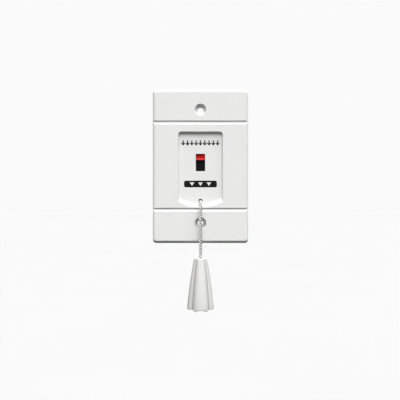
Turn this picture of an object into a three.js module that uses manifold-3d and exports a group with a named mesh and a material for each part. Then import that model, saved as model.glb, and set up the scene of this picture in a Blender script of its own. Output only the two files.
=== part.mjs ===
// A pull cord switch: a single-gang wall station whose slide switch is worked by a hanging cord.
// Millimetres. The origin is on the wall plane at the middle of the plate. +Z is up and the front
// faces -Y, so what stands inside the wall box has a positive y.
import * as THREE from "three";
import { mergeVertices } from "three/addons/utils/BufferGeometryUtils.js";
import Module from "manifold-3d";

const wasm = await Module();
wasm.setup();

// ---- driving dimensions ----
// A row of the form [low, high] is the stretch that a piece covers along one axis.
const GAP = 0.3; // between pieces that lie face to face

const PLATE = {
  width: 70.0,
  height: 112.7,
  depth: 8.5,
  corner: 2.4,
  wall: 2.3,
};
// How far each rounded front edge runs in from the outline, and how far it drops from the face.
const EDGES = { side: [2.2, 2.2], top: [2.0, 2.0], bottom: [2.2, 3.8] };
// Each groove is a step down from the section above it and a cove that rises to the one below.
const GROOVE = { upper: [33.45, 30.85], lower: [-30.6, -33.2], depth: 0.9, draft: 0.1 };
// The lower counterbore is the deeper one, so that the cord runs clear of the screw's head.
const SCREW_HOLE = { spacing: 83.34, radius: 2.05, boss: 5.6 };
const COUNTERBORE = { radius: 4.2, floorRadius: 3.9, upperDepth: 2.8, lowerDepth: 5.0, dish: 0.4 };
const RECESS = {
  halfWidth: 16.4,
  top: 25.4,
  bottom: -29.9,
  bottomRadius: 33.2,
  corner: 2.4,
  depth: 2.5,
  sideRun: 0.95,
  topRun: 1.55,
  bottomRun: 2.8,
  floor: 2.0,
};
const WINDOW = { width: 6.8, height: 12.7, centre: 2.8 };
const TRAVEL = 7.5; // of the slide, from the upper stop to the called position
const SWITCH_CENTRE = 2.45; // the middle of that travel
const LUG = { width: 6.2, height: 4.1, rise: 0.6, proud: -0.4, scoop: 0.7 }; // rise over its stem
const SHUTTER = { halfWidth: 5.5, thickness: 1.4, z: [-4.5, 17.0] };
const STEM = { halfWidth: 1.8, halfHeight: 0.9 };
const FRAME = { halfWidth: 7.0, sheet: 0.6, frontY: -2.0, z: [-9.2, 14.1], tabThickness: 0.6 };
const BLOCK = { halfWidth: 6.0, y: [-1.1, 4.3], z: [-6.0, 12.2] };
const BASE = { halfWidth: 6.1, y: [5.2, 6.8], z: [-8.9, 13.8] };
const TERMINAL = { x: 3.4, padWidth: 3.0, padHeight: 2.2, padY: [4.75, 5.05], tailEnd: 11.4 };
const LEAF = { width: 2.4, length: 10.2, y: 3.5, thickness: 0.3, dimple: 0.8 };
const SPRING = { radius: 0.9, wire: 0.2, turns: 3, y: [1.75, 3.2] };
const BOARD = { x: [-17.0, 17.0], y: [8.3, 9.9], z: [-20.6, 30.6], corner: 1.5 };
const POST = { x: 13.8, z: [-16.6, 26.6], radius: 2.9, pilot: 1.25, pilotDepth: 8.0 };
const BOARD_SCREW = { shank: 1.1, head: 2.5, headHeight: 1.7, length: 7.5 };
const BLOCK_TERMINALS = { pitch: 5.08, count: 3, depth: 7.6, height: 10.0, centreZ: -12.0 };
const CORD = { radius: 1.25, sides: 8, bend: 5.0, innerY: 1.4 };
const CORD_HOLE = { radius: 1.8, z: -25.7, sag: 0.45 }; // the cord lies low in its hole
const FERRULE = { radius: 2.0, z: [-4.1, 0.3] };
const GUIDE = { radius: 4.0, bore: 1.8, y: [-3.7, -2.2] };
const PENDANT = {
  top: -67.2,
  height: 38.3,
  topRadius: 4.65,
  bottomRadius: 9.75,
  bulge: 0.55, // the share of the flare that is spent early, which makes a bell of the cone
  wall: 1.1,
  lobes: 4,
  lobeTurn: 2, // degrees, of a lobe's middle from the front towards +X
  widening: 4, // degrees that the front and rear lobes gain on each side
  valley: 0.285, // how deep the valleys between the lobes are, as a share of the radius
  innerValley: 0.25, // the same inside, where the wall is thinner
  crown: 4, // the higher, the flatter the lobes and the narrower the valleys
  hole: 1.55,
  roof: 2.4,
};
// The mouth's edge stands above its four tips, which are beside the middles of the front and rear lobes.
const MOUTH = { lobeLift: 1.0, sideLift: 1.3, sideFrom: [38, 50], tipAt: 22.5, tipWidth: 8, bend: 4 };
const KNOT = { radius: 2.8, height: 4.4 };

// ---- places that follow from them ----
const frontY = -PLATE.depth;
const floorY = frontY + RECESS.depth;
const floorRearY = floorY + RECESS.floor;
const stemZ = SWITCH_CENTRE + TRAVEL / 2;
const lugZ = stemZ + LUG.rise;
const shutterY = [floorRearY + GAP, floorRearY + GAP + SHUTTER.thickness];
const frameRearY = BASE.y[1] + GAP;
const cordY = floorY + 0.3 - CORD.bend; // where the cord hangs
const exitZ = CORD_HOLE.z - CORD_HOLE.sag; // where it comes out
const hangZ = exitZ - CORD.bend; // where it is straight down
const terminalZ = [SWITCH_CENTRE + TRAVEL, SWITCH_CENTRE, SWITCH_CENTRE - TRAVEL];
const blockRearY = BOARD.y[1] + GAP + BLOCK_TERMINALS.depth;

// ---- materials ----
function finish(color, roughness, metalness = 0) {
  return new THREE.MeshStandardMaterial({ color, roughness, metalness });
}
const WHITE = finish(0xe9e9e6, 0.45);
const PENDANT_WHITE = finish(0xf2f2ee, 0.5);
const RED = finish(0xc8201c, 0.35);
const BLACK = finish(0x141313, 0.4);
const STEEL = finish(0xb9bcc0, 0.35, 1);
const BRASS = finish(0xc9a35a, 0.3, 1);
const COPPER = finish(0xc98a5c, 0.3, 1);
const PHENOLIC = finish(0x7a4a24, 0.6);
const BOARD_GREEN = finish(0x1f5c3a, 0.45);
const BLOCK_GREEN = finish(0x2f8a4e, 0.5);
const DARK_NYLON = finish(0x1c1b1b, 0.5);
const CORD_WHITE = finish(0xeceae4, 0.8);

// ---- solids ----
function toSolid(geometry) {
  const bare = geometry.clone();
  bare.deleteAttribute("normal");
  bare.deleteAttribute("uv");
  const merged = mergeVertices(bare, 1e-4);
  const vertProperties = merged.attributes.position.array;
  const triVerts = Uint32Array.from(merged.index.array);
  return new wasm.Manifold(new wasm.Mesh({ numProp: 3, vertProperties, triVerts }));
}

function toGeometry(solid) {
  const mesh = solid.getMesh();
  const geometry = new THREE.BufferGeometry();
  geometry.setAttribute("position", new THREE.BufferAttribute(mesh.vertProperties, 3));
  geometry.setIndex(new THREE.BufferAttribute(mesh.triVerts, 1));
  return geometry;
}

function box([x0, x1], [y0, y1], [z0, z1]) {
  const geometry = new THREE.BoxGeometry(x1 - x0, y1 - y0, z1 - z0);
  geometry.translate((x0 + x1) / 2, (y0 + y1) / 2, (z0 + z1) / 2);
  return toSolid(geometry);
}

// A round solid along Y, tapering from one radius at its front to another at its rear.
function roundY([y0, y1], x, z, frontRadius, rearRadius = frontRadius, sides = 24) {
  const geometry = new THREE.CylinderGeometry(rearRadius, frontRadius, y1 - y0, sides);
  geometry.translate(x, (y0 + y1) / 2, z);
  return toSolid(geometry);
}

function roundZ([z0, z1], x, y, lowRadius, highRadius = lowRadius, sides = 24) {
  const geometry = new THREE.CylinderGeometry(highRadius, lowRadius, z1 - z0, sides);
  geometry.rotateX(Math.PI / 2);
  geometry.translate(x, y, (z0 + z1) / 2);
  return toSolid(geometry);
}

function union(solids) {
  return solids.reduce((whole, solid) => whole.add(solid));
}

function cut(solid, cutters) {
  return solid.subtract(union(cutters));
}

// A closed skin over flat rings of points, each ring anticlockwise seen from the first one's side.
function loft(rings) {
  const count = rings[0].length;
  const points = rings.flat();
  const triangles = [];
  for (let i = 0; i < rings.length - 1; i += 1) {
    for (let j = 0; j < count; j += 1) {
      const a = i * count + j;
      const b = i * count + ((j + 1) % count);
      triangles.push(a, a + count, b, b, a + count, b + count);
    }
  }
  const last = (rings.length - 1) * count;
  const firstCentre = points.push(middle(rings[0])) - 1;
  const lastCentre = points.push(middle(rings.at(-1))) - 1;
  for (let j = 0; j < count; j += 1) {
    const next = (j + 1) % count;
    triangles.push(firstCentre, j, next, lastCentre, last + next, last + j);
  }
  const geometry = new THREE.BufferGeometry().setFromPoints(points);
  geometry.setIndex(triangles);
  return toSolid(geometry);
}

function middle(ring) {
  const sum = ring.reduce((total, point) => total.add(point), new THREE.Vector3());
  return sum.divideScalar(ring.length);
}

// Points of an arc as [x, z], both ends included.
function arc(x, z, radius, fromDegrees, toDegrees, steps) {
  return Array.from({ length: steps + 1 }, (_, i) => {
    const angle = THREE.MathUtils.degToRad(THREE.MathUtils.lerp(fromDegrees, toDegrees, i / steps));
    return [x + radius * Math.cos(angle), z + radius * Math.sin(angle)];
  });
}

function roundedRectangle([x0, x1], [z0, z1], radius, steps = 4) {
  return [
    ...arc(x1 - radius, z0 + radius, radius, -90, 0, steps),
    ...arc(x1 - radius, z1 - radius, radius, 0, 90, steps),
    ...arc(x0 + radius, z1 - radius, radius, 90, 180, steps),
    ...arc(x0 + radius, z0 + radius, radius, 180, 270, steps),
  ];
}

function ringAtY(outline, y) {
  return outline.map(([x, z]) => new THREE.Vector3(x, y, z));
}

// How far a quarter-ellipse edge stands in from the side, at a depth below the face.
function roundInset(depth, [run, drop]) {
  return depth >= drop ? 0 : run * (1 - Math.sqrt(1 - (1 - depth / drop) ** 2));
}

// A block with rounded front edges, whose sides, top and bottom may have different roundings.
function pillow([x0, x1], [z0, z1], [y0, y1], rounds, corner) {
  const most = Math.max(rounds.side[1], rounds.top[1], rounds.bottom[1]);
  const steps = 6;
  const rings = [];
  for (let i = 0; i <= steps; i += 1) {
    const depth = most * (1 - Math.cos((i / steps) * (Math.PI / 2)));
    const side = roundInset(depth, rounds.side);
    const radius = Math.max(0.4, corner - side * 0.6);
    const top = z1 - roundInset(depth, rounds.top);
    const bottom = z0 + roundInset(depth, rounds.bottom);
    rings.push(ringAtY(roundedRectangle([x0 + side, x1 - side], [bottom, top], radius), y0 + depth));
  }
  rings.push(ringAtY(roundedRectangle([x0, x1], [z0, z1], corner), y1));
  return loft(rings);
}

// ---- wall plate ----
function plateShell() {
  const x = [-PLATE.width / 2, PLATE.width / 2];
  const half = PLATE.height / 2;
  const block = pillow(x, [-half, half], [frontY, 0], EDGES, PLATE.corner);
  return cut(block, [grooveCutter(GROOVE.upper), grooveCutter(GROOVE.lower)]);
}

function grooveCutter([stepZ, coveZ]) {
  const steps = 8;
  const foot = stepZ - GROOVE.draft;
  const outline = [[frontY - 1, coveZ]];
  for (let i = steps; i >= 0; i -= 1) {
    const angle = (i / steps) * (Math.PI / 2);
    const z = foot + (coveZ - foot) * Math.sin(angle);
    outline.push([frontY + GROOVE.depth * Math.cos(angle), z]);
  }
  outline.push([frontY, stepZ], [frontY - 1, stepZ]);
  const ends = [PLATE.width / 2 + 1, -PLATE.width / 2 - 1];
  return loft(ends.map((x) => outline.map(([y, z]) => new THREE.Vector3(x, y, z))));
}

function recessOutline(share) {
  const halfWidth = RECESS.halfWidth - RECESS.sideRun * share;
  const top = RECESS.top - RECESS.topRun * share;
  const radius = RECESS.bottomRadius - RECESS.bottomRun * share;
  const centre = RECESS.bottom + RECESS.bottomRadius;
  const corner = RECESS.corner * (1 - 0.3 * share);
  const reach = THREE.MathUtils.radToDeg(Math.asin(halfWidth / radius));
  return [
    ...arc(0, centre, radius, -90 - reach, -90 + reach, 14),
    ...arc(halfWidth - corner, top - corner, corner, 0, 90, 5),
    ...arc(-halfWidth + corner, top - corner, corner, 90, 180, 5),
  ];
}

function recessCutter() {
  const outside = 1;
  return loft([
    ringAtY(recessOutline(0), frontY - outside),
    ringAtY(recessOutline(0), frontY),
    ringAtY(recessOutline(0.16), frontY + RECESS.depth * 0.3),
    ringAtY(recessOutline(0.62), frontY + RECESS.depth * 0.8),
    ringAtY(recessOutline(1), floorY),
  ]);
}

function screwHoleCutter(z, depth) {
  const wall = [frontY - 0.01, frontY + depth];
  const dish = [frontY + depth - 0.01, frontY + depth + COUNTERBORE.dish];
  return union([
    roundY([frontY - 1, 1], 0, z, SCREW_HOLE.radius),
    roundY(wall, 0, z, COUNTERBORE.radius, COUNTERBORE.floorRadius),
    roundY(dish, 0, z, COUNTERBORE.floorRadius, SCREW_HOLE.radius),
  ]);
}

function plateRibs() {
  const innerY = frontY + PLATE.wall - 0.2;
  const shallow = [innerY, -2.0];
  const outer = PLATE.width / 2 - 1;
  const ribs = [];
  for (const z of [-18, 4, 22]) {
    for (const side of [-1, 1]) {
      const x = [18, outer].map((value) => side * value).sort((a, b) => a - b);
      ribs.push(box(x, shallow, [z - 0.6, z + 0.6]));
    }
  }
  const end = PLATE.height / 2 - 1;
  const boss = SCREW_HOLE.spacing / 2 + SCREW_HOLE.boss - 1;
  ribs.push(box([-0.6, 0.6], shallow, [boss, end]));
  ribs.push(box([-0.6, 0.6], shallow, [-end, -boss]));
  return ribs;
}

function plateRear() {
  const innerY = frontY + PLATE.wall - 0.2;
  const posts = POST.z.flatMap((z) => [-POST.x, POST.x].map((x) => [x, z]));
  const screws = [-SCREW_HOLE.spacing / 2, SCREW_HOLE.spacing / 2];
  const railX = [SHUTTER.halfWidth + GAP, SHUTTER.halfWidth + GAP + 1.2];
  const rail = [SHUTTER.z[0] - TRAVEL - 1, SHUTTER.z[1] + 1];
  const railY = [floorRearY - 0.5, FRAME.frontY - GAP];
  return [
    box([-18.6, 18.6], [innerY, floorRearY], [RECESS.bottom - 2.2, RECESS.top + 2.2]),
    ...screws.map((z) => roundY([innerY, 0], 0, z, SCREW_HOLE.boss)),
    ...posts.map(([x, z]) => roundY([innerY, BOARD.y[0] - GAP], x, z, POST.radius)),
    box(railX, railY, rail),
    box([-railX[1], -railX[0]], railY, rail),
    roundY([floorRearY - 0.5, GUIDE.y[1]], 0, exitZ, GUIDE.radius + 1.4),
    ...plateRibs(),
  ];
}

function wallPlate() {
  const side = PLATE.width / 2 - PLATE.wall;
  const end = PLATE.height / 2 - PLATE.wall;
  const windowZ = [WINDOW.centre - WINDOW.height / 2, WINDOW.centre + WINDOW.height / 2];
  const windowX = [-WINDOW.width / 2, WINDOW.width / 2];
  const hollow = box([-side, side], [frontY + PLATE.wall, 1], [-end, end]);
  const shell = union([cut(plateShell(), [hollow]), ...plateRear()]);
  const posts = POST.z.flatMap((z) => [-POST.x, POST.x].map((x) => [x, z]));
  const pilotY = [BOARD.y[0] - GAP - POST.pilotDepth, BOARD.y[0]];
  return cut(shell, [
    recessCutter(),
    box(windowX, [floorY - 1, floorRearY + 1], windowZ),
    roundY([floorY - 1, floorRearY + 1], 0, CORD_HOLE.z, CORD_HOLE.radius),
    roundY([floorRearY, 0], 0, exitZ, GUIDE.radius + 0.15, GUIDE.radius + 0.15, 32),
    screwHoleCutter(SCREW_HOLE.spacing / 2, COUNTERBORE.upperDepth),
    screwHoleCutter(-SCREW_HOLE.spacing / 2, COUNTERBORE.lowerDepth),
    ...posts.map(([x, z]) => roundY(pilotY, x, z, POST.pilot, POST.pilot, 16)),
  ]);
}

// ---- slide: red lug, shutter, carriage and what it carries ----
function redLug() {
  const x = [-LUG.width / 2, LUG.width / 2];
  const z = [lugZ - LUG.height / 2, lugZ + LUG.height / 2];
  const y = [floorY - LUG.proud, shutterY[0] - 0.15];
  const rounds = { side: [0.3, 0.3], top: [0.4, 0.4], bottom: [0.4, 0.4] };
  const scoopRadius = (LUG.height ** 2 / 4 + LUG.scoop ** 2) / (2 * LUG.scoop);
  const scoop = new THREE.CylinderGeometry(scoopRadius, scoopRadius, LUG.width + 1, 48);
  scoop.rotateZ(Math.PI / 2);
  scoop.translate(0, y[0] + LUG.scoop - scoopRadius, lugZ);
  const socketX = [-STEM.halfWidth - 0.1, STEM.halfWidth + 0.1];
  const socketZ = [stemZ - STEM.halfHeight - 0.1, stemZ + STEM.halfHeight + 0.1];
  const socket = box(socketX, [y[1] - 0.6, y[1] + 1], socketZ);
  return cut(pillow(x, z, y, rounds, 0.4), [toSolid(scoop), socket]);
}

function indicatorShutter() {
  const plate = box([-SHUTTER.halfWidth, SHUTTER.halfWidth], shutterY, SHUTTER.z);
  const holeX = [-STEM.halfWidth - 0.1, STEM.halfWidth + 0.1];
  const holeZ = [stemZ - STEM.halfHeight - 0.1, stemZ + STEM.halfHeight + 0.1];
  return cut(plate, [box(holeX, [shutterY[0] - 1, shutterY[1] + 1], holeZ)]);
}

function slideCarriage() {
  const block = box([-BLOCK.halfWidth, BLOCK.halfWidth], BLOCK.y, BLOCK.z);
  const stemX = [-STEM.halfWidth, STEM.halfWidth];
  const stemSpan = [stemZ - STEM.halfHeight, stemZ + STEM.halfHeight];
  const stem = box(stemX, [shutterY[0] - 0.6, BLOCK.y[0] + 0.5], stemSpan);
  const pocketY = [BLOCK.y[0] - 1, CORD.innerY + FERRULE.radius + 0.4];
  const pocket = box([-2.4, 2.4], pocketY, [FERRULE.z[0] - GAP, FERRULE.z[1] + GAP]);
  const slotY = [BLOCK.y[0] - 1, CORD.innerY + CORD.radius + 0.3];
  const slot = box([-1.55, 1.55], slotY, [BLOCK.z[0] - 1, FERRULE.z[0]]);
  const cutters = [pocket, slot];
  for (const x of [-TERMINAL.x, TERMINAL.x]) {
    const halfWidth = LEAF.width / 2 + 0.25;
    const halfLength = LEAF.length / 2 + 0.25;
    const channelZ = [stemZ - halfLength, stemZ + halfLength];
    cutters.push(box([x - halfWidth, x + halfWidth], [LEAF.y - 0.2, BLOCK.y[1] + 1], channelZ));
    cutters.push(roundY([SPRING.y[0] - 0.15, LEAF.y], x, stemZ, 1.35, 1.35, 16));
  }
  return cut(block.add(stem), cutters);
}

// A sprung copper leaf with a dimple at each end, which joins two terminals of one side.
function bridgingContact(x) {
  const end = LEAF.length / 2;
  const touch = TRAVEL / 2;
  const half = [
    [0, 0],
    [touch - 1.4, 0],
    [touch, LEAF.dimple],
    [end, LEAF.dimple * 0.35],
  ];
  const outline = [...half.slice(1).reverse().map(([z, y]) => [-z, y]), ...half];
  const shape = new THREE.Shape();
  outline.forEach(([z, y], i) => (i === 0 ? shape.moveTo(z, y) : shape.lineTo(z, y)));
  [...outline].reverse().forEach(([z, y]) => shape.lineTo(z, y - LEAF.thickness));
  const geometry = new THREE.ExtrudeGeometry(shape, { depth: LEAF.width, bevelEnabled: false });
  const axes = new THREE.Matrix4().makeBasis(
    new THREE.Vector3(0, 0, 1),
    new THREE.Vector3(0, 1, 0),
    new THREE.Vector3(-1, 0, 0),
  );
  geometry.applyMatrix4(axes);
  geometry.translate(x + LEAF.width / 2, LEAF.y + LEAF.thickness, stemZ);
  return toSolid(geometry);
}

// A tube of the cord or of a spring's wire, with flat ends, along a curve.
function tube(curve, radius, sides, steps) {
  const section = new THREE.Shape();
  arc(0, 0, radius, 0, 360 - 360 / sides, sides - 1).forEach(([x, y], i) => {
    if (i === 0) section.moveTo(x, y);
    else section.lineTo(x, y);
  });
  section.closePath();
  return toSolid(new THREE.ExtrudeGeometry(section, { steps, extrudePath: curve }));
}

class Helix extends THREE.Curve {
  constructor(x, z) {
    super();
    this.x = x;
    this.z = z;
  }

  getPoint(t, target = new THREE.Vector3()) {
    const angle = t * SPRING.turns * Math.PI * 2;
    const y = THREE.MathUtils.lerp(SPRING.y[0] + SPRING.wire, SPRING.y[1] - SPRING.wire, t);
    const x = this.x + SPRING.radius * Math.cos(angle);
    return target.set(x, y, this.z + SPRING.radius * Math.sin(angle));
  }
}

function contactSpring(x) {
  return tube(new Helix(x, stemZ), SPRING.wire, 5, SPRING.turns * 10);
}

function cordFerrule() {
  const [z0, z1] = FERRULE.z;
  const barrel = roundZ([z0, z1], 0, CORD.innerY, FERRULE.radius, FERRULE.radius, 20);
  return cut(barrel, [roundZ([z0 - 1, z1 - 0.8], 0, CORD.innerY, CORD.radius + 0.2)]);
}

// ---- slide switch: frame, base and terminals ----
function switchFrame() {
  const { halfWidth, sheet, z, tabThickness } = FRAME;
  const inner = halfWidth - sheet;
  const frontSheet = [FRAME.frontY, FRAME.frontY + sheet];
  const tabY = [frameRearY, frameRearY + tabThickness];
  const solids = [box([-halfWidth, halfWidth], frontSheet, z)];
  for (const side of [-1, 1]) {
    const wallX = [inner, halfWidth].map((value) => side * value).sort((a, b) => a - b);
    const tabX = [inner - 1.6, halfWidth].map((value) => side * value).sort((a, b) => a - b);
    solids.push(box(wallX, [FRAME.frontY, frameRearY], z));
    for (const tabZ of [z[0] + 3.4, z[1] - 3.4]) {
      solids.push(box(tabX, tabY, [tabZ - 1.5, tabZ + 1.5]));
      solids.push(box(wallX, [BASE.y[1], tabY[1]], [tabZ - 1.5, tabZ + 1.5]));
    }
  }
  const slotX = [-STEM.halfWidth - 0.4, STEM.halfWidth + 0.4];
  const slotZ = [stemZ - TRAVEL - STEM.halfHeight - 0.4, stemZ + STEM.halfHeight + 0.4];
  return cut(union(solids), [box(slotX, [FRAME.frontY - 1, FRAME.frontY + 1.2], slotZ)]);
}

function terminalPlaces() {
  const sides = [["left", -TERMINAL.x], ["right", TERMINAL.x]];
  const levels = ["upper", "middle", "lower"];
  return levels.flatMap((level, i) =>
    sides.map(([side, x]) => ({ name: `terminal_${level}_${side}`, x, z: terminalZ[i] })),
  );
}

function tailHole({ x, z }) {
  return box([x - 0.75, x + 0.75], [0, BOARD.y[1] + 2], [z - 0.5, z + 0.5]);
}

function switchBase() {
  const base = box([-BASE.halfWidth, BASE.halfWidth], BASE.y, BASE.z);
  return cut(base, terminalPlaces().map(tailHole));
}

function switchTerminal({ x, z }) {
  const padX = [x - TERMINAL.padWidth / 2, x + TERMINAL.padWidth / 2];
  const padZ = [z - TERMINAL.padHeight / 2, z + TERMINAL.padHeight / 2];
  const tailY = [TERMINAL.padY[0] + 0.1, TERMINAL.tailEnd];
  const pad = box(padX, TERMINAL.padY, padZ);
  return pad.add(box([x - 0.45, x + 0.45], tailY, [z - 0.25, z + 0.25]));
}

// ---- circuit board with its screws and terminal block ----
function blockPlaces() {
  const middleIndex = (BLOCK_TERMINALS.count - 1) / 2;
  return Array.from({ length: BLOCK_TERMINALS.count }, (_, i) => ({
    name: `${i + 1}`,
    x: (i - middleIndex) * BLOCK_TERMINALS.pitch,
    z: BLOCK_TERMINALS.centreZ,
  }));
}

function screwPlaces() {
  const sides = [["left", -POST.x], ["right", POST.x]];
  const levels = [["lower", POST.z[0]], ["upper", POST.z[1]]];
  return levels.flatMap(([level, z]) =>
    sides.map(([side, x]) => ({ name: `board_screw_${level}_${side}`, x, z })),
  );
}

function circuitBoard() {
  const outline = roundedRectangle(BOARD.x, BOARD.z, BOARD.corner, 3);
  const board = loft(BOARD.y.map((y) => ringAtY(outline, y)));
  const through = [BOARD.y[0] - 1, BOARD.y[1] + 1];
  return cut(board, [
    ...terminalPlaces().map(tailHole),
    ...screwPlaces().map(({ x, z }) => roundY(through, x, z, 1.5, 1.5, 16)),
    ...blockPlaces().map(({ x, z }) => roundY(through, x, z, 0.75, 0.75, 12)),
  ]);
}

function boardScrew({ x, z }) {
  const headY = BOARD.y[1] + 0.1;
  const shankY = [headY - BOARD_SCREW.length, headY + 0.5];
  const flat = [headY, headY + BOARD_SCREW.headHeight * 0.5];
  const dome = [flat[1], headY + BOARD_SCREW.headHeight];
  const bar = [headY + BOARD_SCREW.headHeight - 0.9, dome[1] + 1];
  const head = union([
    roundY(flat, x, z, BOARD_SCREW.head, BOARD_SCREW.head, 20),
    roundY(dome, x, z, BOARD_SCREW.head, BOARD_SCREW.head * 0.62, 20),
    roundY(shankY, x, z, BOARD_SCREW.shank, BOARD_SCREW.shank, 12),
  ]);
  return cut(head, [
    box([x - 1.5, x + 1.5], bar, [z - 0.25, z + 0.25]),
    box([x - 0.25, x + 0.25], bar, [z - 1.5, z + 1.5]),
  ]);
}

// The wires go in from below and the clamping screws are turned from the rear.
function terminalBlock() {
  const { pitch, count, height, centreZ } = BLOCK_TERMINALS;
  const half = (pitch * count) / 2;
  const y = [BOARD.y[1] + GAP, blockRearY];
  const z = [centreZ - height / 2, centreZ + height / 2];
  const body = box([-half, half], y, z);
  const slope = box([-half - 1, half + 1], [y[1] - 1.6, y[1] + 1], [z[1] - 2.2, z[1] + 1]);
  const cutters = [slope];
  for (const place of blockPlaces()) {
    const cageX = [place.x - 1.95, place.x + 1.95];
    cutters.push(box(cageX, [y[0] + 1.0, y[1] - 2.4], [z[0] - 1, centreZ + 2.2]));
    cutters.push(roundY([y[1] - 3, y[1] + 1], place.x, centreZ, 1.9, 1.9, 20));
    cutters.push(roundY([y[0] - 1, y[0] + 1.5], place.x, place.z, 0.75, 0.75, 12));
  }
  return cut(body, cutters);
}

// A square brass cage that rises as its screw is turned, with a pin to the board.
function wireClamp({ x }) {
  const y0 = BOARD.y[1] + GAP + 1.2;
  const y1 = blockRearY - 2.6;
  const z = [BLOCK_TERMINALS.centreZ - 2.0, BLOCK_TERMINALS.centreZ + 2.0];
  const cage = box([x - 1.75, x + 1.75], [y0, y1], z);
  const mouth = box([x - 1.2, x + 1.2], [y0 + 0.6, y1 - 1.3], [z[0] - 1, z[1] + 1]);
  const thread = roundY([y1 - 2, y1 + 1], x, BLOCK_TERMINALS.centreZ, 1.1, 1.1, 16);
  const pin = roundY([BOARD.y[0] - 1.2, y0 + 0.3], x, BLOCK_TERMINALS.centreZ, 0.5, 0.5, 10);
  return cut(cage, [mouth, thread]).add(pin);
}

function clampScrew({ x }) {
  const z = BLOCK_TERMINALS.centreZ;
  const headY = [blockRearY - 2.3, blockRearY - 0.8];
  const head = roundY(headY, x, z, 1.7, 1.7, 20);
  const shank = roundY([headY[0] - 1.9, headY[0] + 0.5], x, z, 0.9, 0.9, 12);
  return cut(head.add(shank), [box([x - 2, x + 2], [headY[1] - 0.8, headY[1] + 1], [z - 0.3, z + 0.3])]);
}

// ---- cord, its guide and the pendant ----
function cordGuide() {
  const ring = roundY(GUIDE.y, 0, exitZ, GUIDE.radius, GUIDE.radius, 28);
  const bore = [GUIDE.y[0] - 1, GUIDE.y[1] + 1];
  const flare = [GUIDE.y[1] - 0.8, GUIDE.y[1] + 0.01];
  return cut(ring, [
    roundY(bore, 0, exitZ, GUIDE.bore, GUIDE.bore, 20),
    roundY(flare, 0, exitZ, GUIDE.bore, GUIDE.bore + 0.9, 20),
  ]);
}

// Points of a quarter turn between level and upright, in the plane x = 0.
function quarter(y, z, fromDegrees, toDegrees) {
  return arc(y, z, CORD.bend, fromDegrees, toDegrees, 6).map(([a, b]) => new THREE.Vector3(0, a, b));
}

function cordAlong(points, steps) {
  const curve = new THREE.CatmullRomCurve3(points, false, "centripetal");
  return tube(curve, CORD.radius, CORD.sides, steps);
}

function innerCord() {
  const down = quarter(CORD.innerY - CORD.bend, exitZ + CORD.bend, 0, -90);
  const top = new THREE.Vector3(0, CORD.innerY, FERRULE.z[1] - 0.8 - GAP);
  const middlePoint = new THREE.Vector3(0, CORD.innerY, -12);
  const end = new THREE.Vector3(0, floorY + 1.1, exitZ);
  return cordAlong([top, middlePoint, ...down, end], 16);
}

function cordBend() {
  const start = new THREE.Vector3(0, floorY + 0.8, exitZ);
  return cordAlong([start, ...quarter(cordY + CORD.bend, hangZ, 90, 180)], 8);
}

function pullCord() {
  const top = new THREE.Vector3(0, cordY, hangZ - GAP);
  const bottom = new THREE.Vector3(0, cordY, PENDANT.top - PENDANT.roof - GAP - 0.3);
  return tube(new THREE.LineCurve3(top, bottom), CORD.radius, CORD.sides, 14);
}

// The bell's outer radius at the middle of a lobe, at a share of its height below the top.
function bellRadius(share) {
  const spread = PENDANT.bottomRadius - PENDANT.topRadius;
  const early = PENDANT.bulge * Math.sin((share * Math.PI) / 2);
  return PENDANT.topRadius + spread * (early + (1 - PENDANT.bulge) * share);
}

// How far the lobed outline reaches, as a share of its radius, at an angle from a lobe's middle.
function lobeReach(around, valley) {
  const step = (Math.PI * 2) / PENDANT.lobes;
  const off = around - step * Math.round(around / step);
  return 1 - valley * Math.abs(off / (step / 2)) ** PENDANT.crown;
}

// How far the mouth's edge stands above its tips, at an angle from the front.
function mouthLift(around) {
  const off = THREE.MathUtils.radToDeg(Math.abs(Math.asin(Math.sin(around))));
  const tip = Math.exp(-(((off - MOUTH.tipAt) / MOUTH.tipWidth) ** 2));
  const beside = THREE.MathUtils.smoothstep(off, ...MOUTH.sideFrom);
  return THREE.MathUtils.lerp(MOUTH.lobeLift, MOUTH.sideLift, beside) * (1 - tip);
}

function bellRing(share, inset, z) {
  const radius = bellRadius(share);
  const count = PENDANT.lobes * 12;
  const valley = THREE.MathUtils.lerp(PENDANT.valley, PENDANT.innerValley, inset / PENDANT.wall);
  return Array.from({ length: count }, (_, i) => {
    const around = (i / count) * Math.PI * 2;
    const reach = radius * lobeReach(around, valley) - inset;
    const turn = PENDANT.lobeTurn - 90 + PENDANT.widening * Math.sin(2 * around);
    const angle = around + THREE.MathUtils.degToRad(turn);
    const lift = mouthLift(around) * share ** MOUTH.bend;
    return new THREE.Vector3(reach * Math.cos(angle), cordY + reach * Math.sin(angle), z + lift);
  });
}

function pendantBell() {
  const steps = 9;
  const outer = [bellRing(0, 0.5, PENDANT.top)];
  for (let i = 0; i <= steps; i += 1) {
    const share = THREE.MathUtils.lerp(0.02, 1, i / steps);
    outer.push(bellRing(share, 0, PENDANT.top - PENDANT.height * share));
  }
  const roof = PENDANT.roof / PENDANT.height;
  const inner = [];
  for (let i = 0; i <= steps; i += 1) {
    const share = THREE.MathUtils.lerp(roof, 1.04, i / steps);
    inner.push(bellRing(share, PENDANT.wall, PENDANT.top - PENDANT.height * share));
  }
  const hole = roundZ([PENDANT.top - 5, PENDANT.top + 1], 0, cordY, PENDANT.hole, PENDANT.hole, 16);
  return cut(loft(outer), [loft(inner), hole]);
}

// The knot that the bell sits on, as the lump that it fills.
function pendantKnot() {
  const knot = new THREE.SphereGeometry(1, 14, 10);
  knot.rotateX(Math.PI / 2);
  knot.scale(KNOT.radius, KNOT.radius, KNOT.height / 2);
  knot.translate(0, cordY, PENDANT.top - PENDANT.roof - 2 * GAP - 0.3 - KNOT.height / 2);
  return toSolid(knot);
}

// ---- assembly ----
const group = new THREE.Group();

function place(name, solid, material) {
  const mesh = new THREE.Mesh(toGeometry(solid), material);
  mesh.name = name;
  group.add(mesh);
}

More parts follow.
